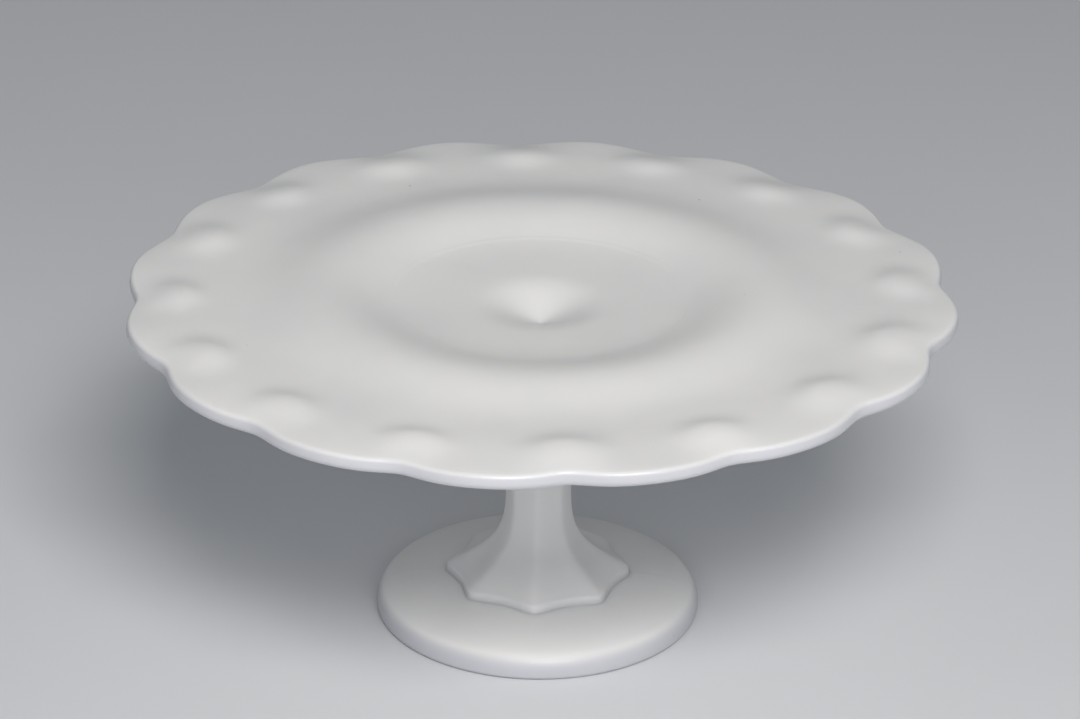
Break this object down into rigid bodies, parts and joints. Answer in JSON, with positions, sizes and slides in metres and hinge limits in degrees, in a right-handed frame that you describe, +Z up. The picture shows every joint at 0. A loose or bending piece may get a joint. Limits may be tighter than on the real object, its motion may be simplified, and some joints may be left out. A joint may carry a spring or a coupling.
{
  "type": "cake stand",
  "caption": "Footed cake stand of opaque white pressed glass: scalloped plate with raised drops and a raised ring, eight-sided stem flaring to a star, round foot.",
  "frame": {"origin": "middle of the face that the foot stands on", "axes": "+Z up along the axis of the stem; +X and +Y level, with corners of the eight-sided stem two degrees off both"},
  "size_m": [0.278, 0.278, 0.1217],
  "materials": {
    "plate_glass": "opaque white pressed glass, fire-polished to a soft gloss",
    "joint_glass": "opaque white glass, fused joint",
    "stem_glass": "opaque white pressed glass, glossy, soft corners",
    "foot_glass": "opaque white pressed glass, fire-polished to a soft gloss"
  },
  "bodies": {
    "root": {"plate": "plate_glass", "joint_wafer": "joint_glass", "stem": "stem_glass", "foot": "foot_glass"}
  },
  "joints": []
}
